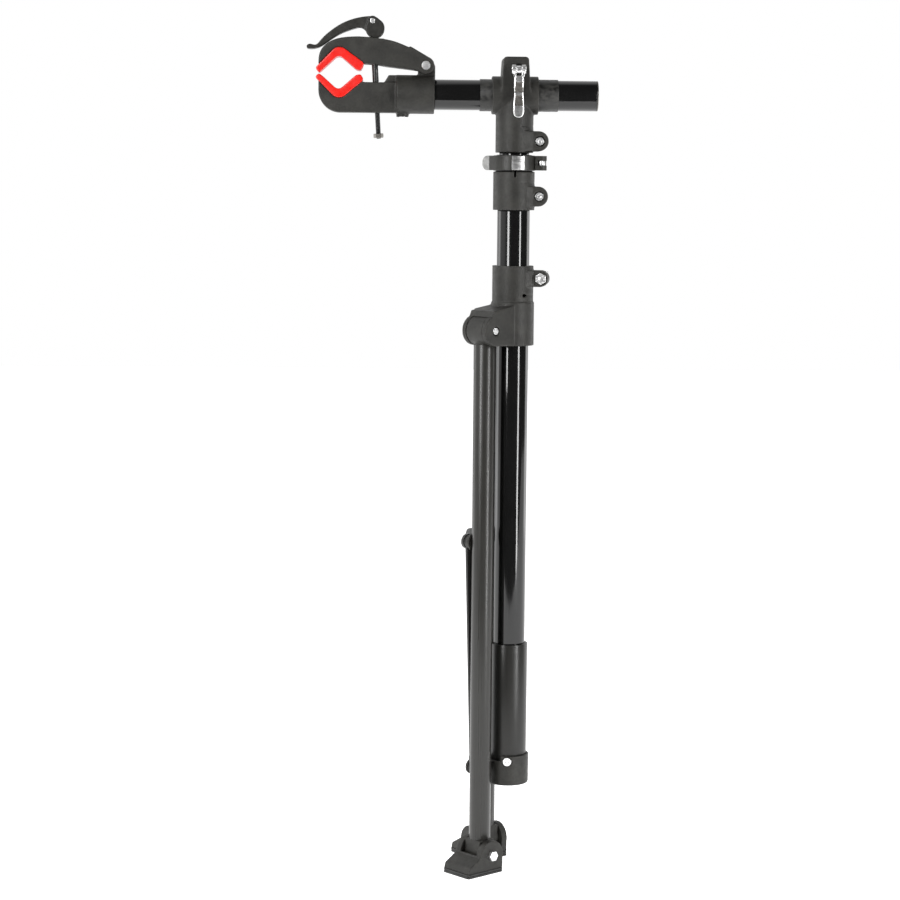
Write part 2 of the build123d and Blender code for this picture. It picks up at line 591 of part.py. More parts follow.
def leg_bracket(sign):
    """A saddle on the leg's inner side, with the boss that the strut folds against."""
    radius, height = STRUT_TOP
    saddle = upright(LEG_R + 2.6, height - 9, height + 9, LEG_RADIUS)
    saddle += along_y(9.0, -STRUT_IN, STRUT_IN, radius, height)
    low, high = sorted((sign * 8.5, sign * (STRUT_IN - GAP)))
    saddle = saddle & block(0, 90, low, high, height - 20, height + 20)
    return saddle - upright(LEG_R, height - 20, height + 20, LEG_RADIUS)


def strut(sign):
    """A flat bar with a round knuckle on the outside of its top end."""
    (top_r, top_z), (foot_r, foot_z) = STRUT_TOP, STRUT_FOOT
    length = math.hypot(top_r - foot_r, top_z - foot_z)
    lean = math.degrees(math.atan2(top_r - foot_r, top_z - foot_z))
    low, high = sorted((sign * STRUT_IN, sign * STRUT_OUT))
    bar = block(-6, 6, low, high, 0, length) + along_y(6.0, low, high, 0, length)
    bar += along_y(8.0, low, high) + along_y(8.0, low, high, 0, length)
    low, high = sorted((sign * (STRUT_OUT - 0.1), sign * (STRUT_OUT + 4.2)))
    bar += along_y(9.0, low, high, 0, length)
    bar -= along_y(STRUT_PIN_R + RUN, -30, 30)
    return Pos(foot_r, 0, foot_z) * Rot(0, lean, 0) * bar


def leg_end():
    """The plastic fitting in the bottom of a leg that the foot turns on."""
    drum = along_y(END_R, -KNUCKLE_HALF, KNUCKLE_HALF, LEG_RADIUS, FOOT_BOLT_Z)
    drum += block(LEG_RADIUS - END_R, LEG_RADIUS + END_R, -12.4, 12.4, FOOT_BOLT_Z, TUBE_BOTTOM)
    drum += upright(LEG_BORE, FOOT_BOLT_Z, TUBE_BOTTOM + 26, LEG_RADIUS)
    return drum - along_y(FOOT_BOLT_R + RUN, -30, 30, LEG_RADIUS, FOOT_BOLT_Z)


def foot_shell():
    """Two round ears on a wedge that slopes down to the toe, open between them."""
    wedge = outline([(FOOT_HEEL, SOLE_TOP), (FOOT_HEEL - 0.6, FOOT_BOLT_Z),
                     (LEG_RADIUS + 12, FOOT_BOLT_Z + 3), TOE_CREST, (FOOT_TOE - 2, -89),
                     (FOOT_TOE, SOLE_TOP)], [0, 0, 0, 0, 3, 0])
    shell = slab_y(wedge, FOOT_HALF)
    shell += along_y(FOOT_EAR_R, -FOOT_HALF, FOOT_HALF, LEG_RADIUS, FOOT_BOLT_Z)
    shell &= block(0, FOOT_TOE + 5, -FOOT_HALF, FOOT_HALF, SOLE_TOP, 0)
    well_z = FOOT_BOLT_Z - END_R - 1.2
    shell -= block(0, TOE_CREST[0], -CHEEK_IN, CHEEK_IN, well_z, 0)
    shell -= block(0, FOOT_TOE + 5, -CHEEK_IN, CHEEK_IN, TOE_CREST[1], 0)
    return shell - along_y(FOOT_BOLT_R, -30, 30, LEG_RADIUS, FOOT_BOLT_Z)


def foot_sole():
    edge = 1.0
    low, high, half = FOOT_HEEL - edge, FOOT_TOE + edge, FOOT_HALF + 0.6
    tread = make_face(Polyline((low, half), (high, half), (high, -half), (low, -half), close=True))
    return prism_z(fillet(tread.vertices(), 3.0), FLOOR_Z, SOLE_TOP)


def foot_bolt():
    bolt = along_y(FOOT_BOLT_R, -FOOT_HALF, FOOT_HALF, LEG_RADIUS, FOOT_BOLT_Z)
    for sign in (-1, 1):
        low, high = sorted((sign * FOOT_HALF, sign * (FOOT_HALF + 4.0)))
        bolt += hex_along_y(11.0, low, high, LEG_RADIUS, FOOT_BOLT_Z)
    return bolt


# ---- the whole stand ------------------------------------------------------------------
def all_parts():
    socket_bolt, socket_nut = ear_fasteners(SOCKET_EAR_X, SOCKET_EAR_Z, -EAR_HALF + 4, EAR_HALF)
    stem_bolt, stem_nut = ear_fasteners(STEM_EAR_X, STEM_EAR_Z, -EAR_HALF + 4, EAR_HALF)
    parts = {
        "outer_post": outer_post(), "post_sleeve": post_sleeve(), "base_cap": base_cap(),
        "base_cap_screw": base_cap_screw(), "strut_pins": strut_pins(),
        "post_socket": post_socket(), "socket_bolt": socket_bolt, "socket_nut": socket_nut,
        "height_collar": height_collar(), "collar_bolt": collar_bolt(),
        "collar_nut": collar_nut(), "collar_lever": collar_lever(),
        "collar_cam_pin": collar_cam_pin(), "inner_post": inner_post(),
        "head_casting": head_casting(), "stem_bolt": stem_bolt, "stem_nut": stem_nut,
        "head_skewer": head_skewer(), "head_cam_cup": HEAD_QR * qr_cup(),
        "head_nut": head_nut(), "head_lever": HEAD_QR * qr_lever(HEAD_QR_LENGTH, HEAD_QR_LIFT),
        "head_cam_pin": HEAD_QR * qr_cam_pin(), "arm_liner": arm_liner(),
        "arm_tube": arm_tube(), "arm_end_plug": arm_end_plug(), "lower_jaw": lower_jaw(),
        "arm_socket_screw": arm_socket_screw(), "lower_jaw_pad": pad(LOWER_PAD),
        "jaw_hinge_pin": jaw_hinge_pin(), "upper_jaw": upper_jaw(),
        "upper_jaw_pad": pad(UPPER_PAD), "cam_saddle": cam_saddle(),
        "cam_barrel": cam_barrel(), "clamp_rod": clamp_rod(), "clamp_rod_nut": clamp_rod_nut(),
        "clamp_lever": clamp_lever(), "clamp_lever_pin": clamp_lever_pin(),
        "leg_hub": leg_hub(), "hub_skewer": hub_skewer(), "hub_cam_cup": HUB_QR * qr_cup(),
        "hub_nut": hub_nut(), "leg_pins": leg_pins(),
        "hub_lever": HUB_QR * qr_lever(HUB_QR_LENGTH, HUB_QR_LIFT),
        "hub_cam_pin": HUB_QR * qr_cam_pin(),
    }
    for side, heading in LEG_HEADINGS.items():
        sign = INNER_SIDE[side]
        pieces = {"leg_tube": leg_tube(), "leg_knuckle": leg_knuckle(),
                  "leg_bracket": leg_bracket(sign), "leg_end": leg_end(), "strut": strut(sign),
                  "foot_shell": foot_shell(), "foot_sole": foot_sole(), "foot_bolt": foot_bolt()}
        for name, piece in pieces.items():
            parts[side + "_" + name] = turned(piece, heading)
    return parts


os.makedirs("parts", exist_ok=True)
for node, shape in all_parts().items():
    export_step(shape, os.path.join("parts", node + ".step"))
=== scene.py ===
"""Looks of a folding bicycle repair stand: its tubes, castings, jaws, levers and feet."""

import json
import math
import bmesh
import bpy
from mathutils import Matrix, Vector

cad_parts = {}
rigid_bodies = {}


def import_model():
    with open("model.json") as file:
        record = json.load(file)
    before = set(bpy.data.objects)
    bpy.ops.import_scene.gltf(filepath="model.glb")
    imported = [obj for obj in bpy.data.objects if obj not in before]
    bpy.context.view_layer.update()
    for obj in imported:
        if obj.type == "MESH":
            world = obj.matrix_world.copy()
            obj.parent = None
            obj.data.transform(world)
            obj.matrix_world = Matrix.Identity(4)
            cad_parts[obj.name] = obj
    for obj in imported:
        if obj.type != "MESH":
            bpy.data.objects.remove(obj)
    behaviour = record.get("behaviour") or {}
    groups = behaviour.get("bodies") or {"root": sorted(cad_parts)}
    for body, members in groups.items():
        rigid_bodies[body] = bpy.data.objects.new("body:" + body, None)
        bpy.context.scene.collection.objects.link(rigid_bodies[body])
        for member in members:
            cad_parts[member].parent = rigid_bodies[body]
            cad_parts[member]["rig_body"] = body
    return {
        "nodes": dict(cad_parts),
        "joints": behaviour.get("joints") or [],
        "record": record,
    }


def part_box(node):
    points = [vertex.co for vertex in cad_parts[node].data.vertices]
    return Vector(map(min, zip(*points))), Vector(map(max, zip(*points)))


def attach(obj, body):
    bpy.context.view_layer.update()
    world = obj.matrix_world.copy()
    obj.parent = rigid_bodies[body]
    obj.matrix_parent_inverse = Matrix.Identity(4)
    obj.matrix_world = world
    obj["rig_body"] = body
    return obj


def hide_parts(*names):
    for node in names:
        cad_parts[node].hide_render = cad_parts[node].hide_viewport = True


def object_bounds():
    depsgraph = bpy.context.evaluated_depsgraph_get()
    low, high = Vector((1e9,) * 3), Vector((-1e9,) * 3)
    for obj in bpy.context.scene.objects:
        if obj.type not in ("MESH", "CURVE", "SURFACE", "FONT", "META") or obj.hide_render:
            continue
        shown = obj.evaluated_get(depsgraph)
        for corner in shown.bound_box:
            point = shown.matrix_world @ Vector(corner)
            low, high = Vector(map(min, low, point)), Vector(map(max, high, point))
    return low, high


bl_info = {
    "name": "Folding Repair Stand",
    "version": (1, 0, 0),
    "blender": (4, 5, 0),
    "location": "View3D > Sidebar > Stand",
    "description": "Builds the visible pieces of a folded bicycle repair stand round its CAD frame",
    "category": "Object",
}

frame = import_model()
CAD_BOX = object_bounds()

MM = 0.001
X, Y, Z = Vector((1, 0, 0)), Vector((0, 1, 0)), Vector((0, 0, 1))
SIDES = ("near", "far")
JOINTS = {joint["name"]: joint for joint in frame["joints"]}
HUB_YAW = math.radians(-10)                # the hub's turn about the post
SHARP_EDGE = math.radians(32)              # a corner that takes a bevel
FLAT = math.radians(0.6)                   # faces this close to level become one


# ---- settings --------------------------------------------------------------------------
def shade(name, colour, about):
    return bpy.props.FloatVectorProperty(name=name, description=about, default=colour,
                                         subtype="COLOR", size=3, min=0, max=1)


def length(name, millimetres, about):
    return bpy.props.FloatProperty(name=name, description=about, default=millimetres * MM,
                                   min=0, subtype="DISTANCE", unit="LENGTH")


class StandColours(bpy.types.PropertyGroup):
    """Base colours of the stand's finishes."""
    gloss_coat: shade("Gloss coat", (0.0042, 0.0042, 0.0042), "Powder coat on the post and arm")
    satin_coat: shade("Satin coat", (0.0185, 0.0180, 0.0162), "Powder coat on the legs")
    casting: shade("Castings", (0.0180, 0.0174, 0.0152), "Glass-filled nylon castings")
    sleeve: shade("Sleeve", (0.0098, 0.0095, 0.0084), "Smooth plastic sleeve on the post")
    liner: shade("Arm liner", (0.0070, 0.0068, 0.0060), "Thin plastic bush round the arm")
    cam_lever: shade("Cam lever", (0.0185, 0.0180, 0.0160), "Moulded clamp lever")
    pads: shade("Jaw pads", (0.60, 0.010, 0.005), "Soft rubber jaw pads")
    tread: shade("Soles", (0.014, 0.0138, 0.013), "Rubber under the feet")
    alloy: shade("Levers", (0.80, 0.80, 0.795), "Polished aluminium levers")
    zinc: shade("Fasteners", (0.90, 0.90, 0.90), "Bright zinc-plated steel")
    satin_alloy: shade("Satin alloy", (0.30, 0.30, 0.295), "Brushed thumb tip of the collar lever")
    # painted reflection: this darker alloy goes only on the collar lever's thumb tip, standing for
    # reflected tone on one polished lever
    dull_steel: shade("Dull steel", (0.20, 0.19, 0.175), "Unpolished recesses and the rod's nut")
    black_steel: shade("Black steel", (0.007, 0.007, 0.0066), "Struts, clamp rod and collar")


class StandDetail(bpy.types.PropertyGroup):
    """How finely the pieces are made."""
    steps: bpy.props.IntProperty(name="Round steps", default=96, min=24, max=256,
                                 description="Steps round a tube")
    tube_lip: length("Tube lip", 0.35, "Rounding at the cut end of a tube")
    cast_voxel: length("Casting grain", 0.80, "Size of the cells that soften a casting")
    small_voxel: length("Small grain", 0.45, "The same for small castings and the pads")
    fine_voxel: length("Fine grain", 0.25, "The same for screws and pins")
    hard_edge: length("Hard edge", 0.25, "Bevel on fasteners and flat bars")


class StandStage(bpy.types.PropertyGroup):
    """Camera and studio."""
    lens: bpy.props.FloatProperty(name="Lens", default=96.0, min=20, max=300,
                                  description="Focal length in millimetres")
    distance: length("Distance", 2820, "Camera to post, along the floor")
    height: length("Camera height", 805, "Camera over the floor")
    azimuth: bpy.props.FloatProperty(name="Azimuth", default=math.radians(-3.5),
                                     subtype="ANGLE", description="Camera's place round the post")
    aside: bpy.props.FloatProperty(name="Aside", default=math.radians(1.46),
                                   subtype="ANGLE", description="Aim to the left of the post")
    down: bpy.props.FloatProperty(name="Down", default=math.radians(6.18),
                                  subtype="ANGLE", description="Downward tilt of the camera")
    roll: bpy.props.FloatProperty(name="Roll", default=math.radians(0.5),
                                  subtype="ANGLE", description="Turn about the lens axis")


# ---- materials -------------------------------------------------------------------------
class Finish:
    """A material with its Principled shader and short calls for the usual nodes."""

    def __init__(self, name, colour, roughness, metallic=0.0, specular=0.5):
        self.material = bpy.data.materials.new(name)
        self.material.use_nodes = True
        self.nodes = self.material.node_tree.nodes
        self.links = self.material.node_tree.links
        self.bsdf = self.nodes["Principled BSDF"]
        self.bsdf.inputs["Base Color"].default_value = (*colour, 1)
        self.bsdf.inputs["Roughness"].default_value = roughness
        self.bsdf.inputs["Metallic"].default_value = metallic
        self.bsdf.inputs["Specular IOR Level"].default_value = specular
        self.colour = colour
        self.coordinates = self.nodes.new("ShaderNodeTexCoord").outputs["Object"]
        self.relief = None

    def stretched(self, scale):
        """Object coordinates with their own scale along each axis."""
        mapping = self.nodes.new("ShaderNodeMapping")
        mapping.inputs["Scale"].default_value = scale
        self.links.new(self.coordinates, mapping.inputs["Vector"])
        return mapping.outputs["Vector"]

    def noise(self, scale, detail, vector=None, distortion=0.0):
        """Cloudy values from 0 to 1, coarse for a small scale."""
        node = self.nodes.new("ShaderNodeTexNoise")
        node.inputs["Scale"].default_value = scale
        node.inputs["Detail"].default_value = detail
        node.inputs["Distortion"].default_value = distortion
        self.links.new(vector or self.coordinates, node.inputs["Vector"])
        return node.outputs["Fac"]

    def span(self, value, low, high, to_low, to_high):
        """Stretches the values from low to high over a new range."""
        node = self.nodes.new("ShaderNodeMapRange")
        for slot, number in zip(("From Min", "From Max", "To Min", "To Max"),
                                (low, high, to_low, to_high)):
            node.inputs[slot].default_value = number
        self.links.new(value, node.inputs["Value"])
        return node.outputs["Result"]

    def tint(self, value, dark, light):
        """Runs the base colour from dark to light times itself along a value from 0 to 1."""
        node = self.nodes.new("ShaderNodeMix")
        node.data_type = "RGBA"
        node.inputs["A"].default_value = (*[c * dark for c in self.colour], 1)
        node.inputs["B"].default_value = (*[min(1, c * light) for c in self.colour], 1)
        self.links.new(value, node.inputs["Factor"])
        self.links.new(node.outputs["Result"], self.bsdf.inputs["Base Color"])

    def rough(self, value):
        """Sets the roughness from a value."""
        self.links.new(value, self.bsdf.inputs["Roughness"])

    def bump(self, value, depth):
        """Adds relief of a real depth on top of what is there."""
        node = self.nodes.new("ShaderNodeBump")
        node.inputs["Distance"].default_value = depth
        node.inputs["Strength"].default_value = 1.0
        self.links.new(value, node.inputs["Height"])
        if self.relief:
            self.links.new(self.relief, node.inputs["Normal"])
        self.relief = node.outputs["Normal"]
        self.links.new(self.relief, self.bsdf.inputs["Normal"])

    def blended(self, one, two, share):
        """A value that is mostly one, with a share of two."""
        node = self.nodes.new("ShaderNodeMix")
        node.inputs["Factor"].default_value = share
        self.links.new(one, node.inputs["A"])
        self.links.new(two, node.inputs["B"])
        return node.outputs["Result"]

    def worn_edges(self):
        """1 on sharp outer edges, 0 elsewhere."""
        node = self.nodes.new("ShaderNodeNewGeometry")
        return self.span(node.outputs["Pointiness"], 0.53, 0.60, 0.0, 1.0)

    def rub(self, value, light):
        """Lightens the base colour where the value is 1."""
        node = self.nodes.new("ShaderNodeMix")
        node.data_type = "RGBA"
        socket = self.bsdf.inputs["Base Color"]
        self.links.new(socket.links[0].from_socket, node.inputs["A"])
        node.inputs["B"].default_value = (*[min(1, c * light) for c in self.colour], 1)
        self.links.new(value, node.inputs["Factor"])
        self.links.new(node.outputs["Result"], socket)


def gloss_coat(colour):
    """Gloss black powder coat: faint drawing marks under a slightly rippled skin."""
    finish = Finish("gloss_powder_coat", colour, 0.10)
    drag = finish.noise(1.0, 2, finish.stretched((900, 900, 14)))
    finish.rough(finish.span(drag, 0.35, 0.75, 0.07, 0.15))
    finish.tint(finish.noise(40, 4), 0.7, 1.5)
    finish.bump(finish.noise(420, 2), 0.00001)
    finish.bump(drag, 0.00001)
    return finish.material


def satin_coat(colour):
    """Satin black powder coat with fine orange peel."""
    finish = Finish("satin_powder_coat", colour, 0.30, specular=0.42)
    drag = finish.noise(1.0, 3, finish.stretched((700, 700, 9)))
    finish.rough(finish.span(drag, 0.3, 0.75, 0.25, 0.38))
    finish.tint(finish.noise(18, 5), 0.75, 1.3)
    finish.bump(finish.noise(1500, 2), 0.00003)
    return finish.material


def cast_nylon(name, colour, grain=1500, roughness=(0.44, 0.60)):
    """Spark-textured glass-filled nylon, cloudy, with edges rubbed lighter."""
    finish = Finish(name, colour, 0.55, specular=0.33)
    cloud = finish.noise(55, 5, distortion=0.4)
    flecks = finish.noise(420, 4)
    finish.tint(finish.span(finish.blended(cloud, flecks, 0.35), 0.36, 0.64, 0, 1), 0.72, 1.4)
    finish.rub(finish.worn_edges(), 2.2)
    finish.rough(finish.span(finish.noise(180, 4), 0.3, 0.7, *roughness))
    finish.bump(finish.noise(grain, 3), 0.00010)
    finish.bump(finish.noise(grain / 5, 2), 0.00006)
    return finish.material


def smooth_plastic(name, colour):
    """Extruded plastic with faint flow lines along it."""
    finish = Finish(name, colour, 0.36, specular=0.38)
    flow = finish.noise(1.0, 4, finish.stretched((160, 160, 5)))
    finish.rough(finish.span(flow, 0.3, 0.7, 0.28, 0.42))
    finish.tint(flow, 0.7, 1.4)
    finish.bump(finish.noise(900, 2), 0.00002)
    return finish.material


def liner_plastic(colour):
    """Thin bush scuffed by sliding."""
    finish = Finish("arm_liner_plastic", colour, 0.5)
    scuff = finish.noise(160, 6, distortion=1.2)
    finish.rough(finish.span(scuff, 0.35, 0.65, 0.30, 0.62))
    finish.tint(finish.span(scuff, 0.42, 0.66, 0, 1), 0.6, 3.2)
    finish.bump(finish.noise(700, 3), 0.00004)
    return finish.material


def soft_rubber(name, colour, roughness, grain):
    """Moulded rubber, a little uneven in gloss."""
    finish = Finish(name, colour, roughness, specular=0.5)
    finish.rough(finish.span(finish.noise(120, 4), 0.3, 0.7, roughness - 0.07, roughness + 0.09))
    finish.tint(finish.noise(90, 4), 0.82, 1.18)
    finish.bump(finish.noise(grain, 2), 0.00006)
    return finish.material


def bright_metal(name, colour, roughness, along=(60, 60, 1400)):
    """Plated or polished metal with fine drawn lines and a few dull spots."""
    finish = Finish(name, colour, roughness, metallic=1.0)
    lines = finish.noise(1.0, 4, finish.stretched(along))
    spots = finish.noise(260, 5)
    finish.rough(finish.span(lines, 0.3, 0.7, roughness - 0.06, roughness + 0.10))
    finish.tint(finish.span(spots, 0.35, 0.65, 0, 1), 0.80, 1.1)
    finish.bump(lines, 0.00001)
    return finish.material


def painted_steel(colour):
    """Black paint over rolled steel."""
    finish = Finish("black_painted_steel", colour, 0.34)
    finish.rough(finish.span(finish.noise(220, 4), 0.3, 0.7, 0.26, 0.44))
    finish.tint(finish.noise(70, 4), 0.7, 1.5)
    finish.rub(finish.worn_edges(), 3.0)
    finish.bump(finish.noise(1100, 2), 0.00004)
    return finish.material


def make_materials():
    colours = bpy.context.scene.stand_colours
    return {
        "gloss_black_tube": gloss_coat(colours.gloss_coat),
        "satin_black_tube": satin_coat(colours.satin_coat),
        "black_casting": cast_nylon("cast_nylon", colours.casting),
        "cam_lever_black": cast_nylon("moulded_lever", colours.cam_lever, 1100, (0.34, 0.46)),
        "sleeve_plastic": smooth_plastic("smooth_sleeve_plastic", colours.sleeve),
        "cup_plastic": smooth_plastic("cam_cup_plastic", colours.liner),
        "liner": liner_plastic(colours.liner),
        "red_rubber": soft_rubber("red_pad_rubber", colours.pads, 0.34, 900),
        "black_rubber": soft_rubber("sole_rubber", colours.tread, 0.58, 600),
        "silver_lever": bright_metal("polished_alloy", colours.alloy, 0.30),
        "zinc_steel": bright_metal("bright_zinc", colours.zinc, 0.34, (500, 500, 500)),
        # painted reflection: darker, rougher alloy used only on the collar lever's thumb tip
        "satin_alloy": bright_metal("satin_alloy", colours.satin_alloy, 0.45, (30, 30, 900)),
        "dull_steel": bright_metal("dull_steel", colours.dull_steel, 0.42, (500, 500, 500)),
        "black_steel": painted_steel(colours.black_steel),
    }


MATERIALS = {}


# ---- frame helpers ---------------------------------------------------------------------
def body_of(node):
    return frame["nodes"][node]["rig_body"]


def slot_of(node):
    for entry in frame["record"]["subparts"]:
        if entry["node"] == node:
            return entry["material_slot"]
    raise RuntimeError("no material slot for " + node)


def pivot(joint):
    return Vector(JOINTS[joint]["pos_m"])


def add_piece(name, bm, body, finish, replaces=(), sharp=32):
    """Turns a bmesh into a piece that rides on a body and stands for some CAD nodes."""
    mesh = bpy.data.meshes.new(name)
    bm.to_mesh(mesh)
    bm.free()
    for polygon in mesh.polygons:
        polygon.use_smooth = True
    mesh.set_sharp_from_angle(angle=math.radians(sharp))
    mesh.materials.append(MATERIALS[finish])
    piece = bpy.data.objects.new(name, mesh)
    bpy.context.scene.collection.objects.link(piece)
    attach(piece, body)
    if replaces:
        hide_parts(*replaces)
    return piece


def for_node(node, bm, finish=None, sharp=32):
    """A piece that stands for one CAD node and takes its body and slot."""
    slot = slot_of(node)
    return add_piece(node + "_skin", bm, body_of(node), finish or slot, (node,), sharp)


# ---- mesh helpers ----------------------------------------------------------------------
def closed(bm):
    """Joins what touches, fills open rims and turns every face outwards."""
    bmesh.ops.remove_doubles(bm, verts=bm.verts, dist=1e-7)
    rims = [edge for edge in bm.edges if edge.is_boundary]
    if rims:
        bmesh.ops.holes_fill(bm, edges=rims, sides=0)
    bmesh.ops.recalc_face_normals(bm, faces=bm.faces)
    return bm


def spun(profile, centre=(0, 0, 0), axis=Z, looped=False, steps=None, start=None, angle=None):
    """Spins (radius, distance along the axis) pairs about an axis, all round or in part."""
    bm = bmesh.new()
    centre, axis = Vector(centre), Vector(axis).normalized()
    out = Vector(start).normalized() if start else axis.orthogonal().normalized()
    points = [bm.verts.new(centre + out * radius + axis * along) for radius, along in profile]
    pairs = list(zip(points, points[1:]))
    if looped:
        pairs.append((points[-1], points[0]))
    lines = [bm.edges.new(pair) for pair in pairs]
    bmesh.ops.spin(bm, geom=points + lines, cent=centre, axis=axis, angle=angle or 2 * math.pi,
                   steps=steps or bpy.context.scene.stand_detail.steps, use_merge=angle is None)
    return closed(bm)


def pipe(outer, inner, low, high, centre=(0, 0, 0), axis=Z):
    """A tube with rounded cut ends."""
    lip = bpy.context.scene.stand_detail.tube_lip
    profile = [(outer, (low + high) / 2), (outer, low + lip), (outer - lip * 0.3, low + lip * 0.3),
               (outer - lip, low), (inner, low), (inner, high), (outer - lip, high),
               (outer - lip * 0.3, high - lip * 0.3), (outer, high - lip)]
    return spun(profile, centre, axis, looped=True)


def threaded(crest, root, pitch, low, high, centre, axis, steps=20):
    """A screw thread: one tooth wound round the axis from low to high."""
    bm = bmesh.new()
    centre, axis = Vector(centre), Vector(axis).normalized()
    out = axis.orthogonal().normalized()
    tooth = ((root, 0.0), (crest, 0.38), (crest, 0.56), (root, 1.0))
    points = [bm.verts.new(centre + out * radius + axis * (low + share * pitch))
              for radius, share in tooth]
    lines = [bm.edges.new(pair) for pair in zip(points, points[1:])]
    turns = int((high - low) / pitch) - 1
    bmesh.ops.spin(bm, geom=points + lines, cent=centre, axis=axis, angle=2 * math.pi * turns,
                   dvec=axis * (pitch / steps), steps=steps * turns, use_merge=False)
    bmesh.ops.remove_doubles(bm, verts=bm.verts, dist=pitch * 0.02)
    return closed(bm)


def hex_prism(across, low, high, centre, axis, edge):
    """A hexagonal nut or bolt head with broken edges."""
    bm = bmesh.new()
    axis = Vector(axis).normalized()
    turn = axis.to_track_quat("Z", "Y").to_matrix().to_4x4()
    place = Matrix.Translation(Vector(centre) + axis * (low + high) / 2) @ turn
    radius = across / math.sqrt(3)
    bmesh.ops.create_cone(bm, cap_ends=True, segments=6, radius1=radius, radius2=radius,
                          depth=high - low, matrix=place)
    caps = [e for e in bm.edges if any(len(f.verts) == 6 for f in e.link_faces)]
    bmesh.ops.bevel(bm, geom=caps, offset=edge, segments=3, profile=0.5, affect="EDGES",
                    clamp_overlap=True, material=-1)
    return bm


def knurled(radius, low, high, centre, axis, steps):
    """A short round whose rim has a notch at every third step."""
    lip, rim_share, notch_share = 0.5 * MM, 0.97, 0.10
    bm = spun([(0, low), (radius - lip, low), (radius, low + lip), (radius, high - lip),
               (radius - lip, high), (0, high)], centre, axis, steps=steps)
    centre, axis = Vector(centre), Vector(axis).normalized()
    out = axis.orthogonal().normalized()
    side = axis.cross(out)
    for vert in bm.verts:
        arm = vert.co - centre
        across = arm - axis * arm.dot(axis)
        if across.length > radius * rim_share:
            turn = math.atan2(across.dot(side), across.dot(out)) / (2 * math.pi) * steps
            if round(turn) % 3 == 0:
                vert.co -= across * notch_share
    return bm


def copied(node):
    """The CAD node's own shape as one joined bmesh."""
    bm = bmesh.new()
    bm.from_mesh(frame["nodes"][node].data)
    bmesh.ops.remove_doubles(bm, verts=bm.verts, dist=1e-6)
    return bm


def remeshed(bm, voxel):
    """Rebuilds a closed bmesh as an even skin of small cells."""
    mesh = bpy.data.meshes.new("remesh_work")
    bm.to_mesh(mesh)
    bm.free()
    work = bpy.data.objects.new("remesh_work", mesh)
    bpy.context.scene.collection.objects.link(work)
    grid = work.modifiers.new("grid", "REMESH")
    grid.mode = "VOXEL"
    grid.voxel_size = voxel
    result = bmesh.new()
    result.from_object(work, bpy.context.evaluated_depsgraph_get())
    bpy.data.objects.remove(work)
    bpy.data.meshes.remove(mesh)
    return result


def softened(bm, voxel, passes):
    """Rounds every edge the way a mould does."""
    bm = remeshed(bm, voxel)
    for _ in range(passes):
        bmesh.ops.smooth_vert(bm, verts=bm.verts, factor=0.5, use_axis_x=True,
                              use_axis_y=True, use_axis_z=True)
    return bm


def crisp(node, edge=None):
    """The CAD node's shape with its sharp edges broken by a small bevel."""
    bm = copied(node)
    bmesh.ops.dissolve_limit(bm, angle_limit=FLAT, verts=bm.verts, edges=bm.edges)
    sharp = [e for e in bm.edges
             if len(e.link_faces) == 2 and e.calc_face_angle() > SHARP_EDGE]
    bmesh.ops.bevel(bm, geom=sharp, offset=edge or bpy.context.scene.stand_detail.hard_edge,
                    segments=2, profile=0.5, affect="EDGES", clamp_overlap=True, material=-1)
    return bm


def joined(*parts):
    """Several bmeshes as one."""
    whole = bmesh.new()
    for part in parts:
        mesh = bpy.data.meshes.new("join_work")
        part.to_mesh(mesh)
        part.free()
        whole.from_mesh(mesh)
        bpy.data.meshes.remove(mesh)
    return whole


def kept_side(bm, point, normal):
    """Cuts a closed bmesh by a plane, keeps the side that the normal points to, closes it."""
    bmesh.ops.bisect_plane(bm, geom=bm.verts[:] + bm.edges[:] + bm.faces[:], plane_co=point,
                           plane_no=normal, clear_inner=True)
    return closed(bm)


# ---- operators -------------------------------------------------------------------------
class STAND_OT_post(bpy.types.Operator):
    """Make the telescoping post with its plastic sleeve"""
    bl_idname = "stand.post"
    bl_label = "Post"

    def execute(self, context):
        walls = {"outer_post": 1.2, "inner_post": 1.5, "post_sleeve": 3.2}
        for node, wall in walls.items():
            low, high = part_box(node)
            outer = (high.x - low.x) / 2
            for_node(node, pipe(outer, outer - wall * MM, low.z, high.z))
        return {"FINISHED"}


class STAND_OT_arm(bpy.types.Operator):
    """Make the clamp arm, its bush and its end plug"""
    bl_idname = "stand.arm"
    bl_label = "Arm"

    def execute(self, context):
        for node, wall, finish in (("arm_tube", 1.5 * MM, None), ("arm_liner", 0.6 * MM, "liner")):
            low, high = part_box(node)
            middle, outer = (low + high) / 2, (high.z - low.z) / 2
            bm = pipe(outer, outer - wall, low.x, high.x, (0, middle.y, middle.z), X)
            for_node(node, bm, finish=finish)
        self.make_plug()
        return {"FINISHED"}

    def make_plug(self):
        """The plug in the arm's end, dished, and the bare cut rim of the tube round it."""
        low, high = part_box("arm_end_plug")
        middle, rim = (low + high) / 2, (high.z - low.z) / 2
        face, seat = high.x, high.x - 1.6 * MM
        profile = [(0, face - 0.5 * MM), (rim * 0.78, face - 0.5 * MM),
                   (rim * 0.82, face - 0.1 * MM),
                   (rim - 1.2 * MM, face), (rim - 0.4 * MM, face - 0.3 * MM),
                   (rim, face - 0.9 * MM), (rim, seat), (rim - 1.4 * MM, seat),
                   (rim - 1.4 * MM, low.x), (0, low.x)]
        for_node("arm_end_plug", spun(profile, (0, middle.y, middle.z), X))
        bare = 0.12 * MM
        ring = spun([(rim - 0.9 * MM, face + bare), (rim - 0.1 * MM, face + bare),
                     (rim + bare, face - 0.3 * MM), (rim + bare, face - 0.8 * MM),
                     (rim - 0.9 * MM, face - 0.8 * MM)], (0, middle.y, middle.z), X, looped=True)
        add_piece("arm_end_rim", ring, "arm", "dull_steel")


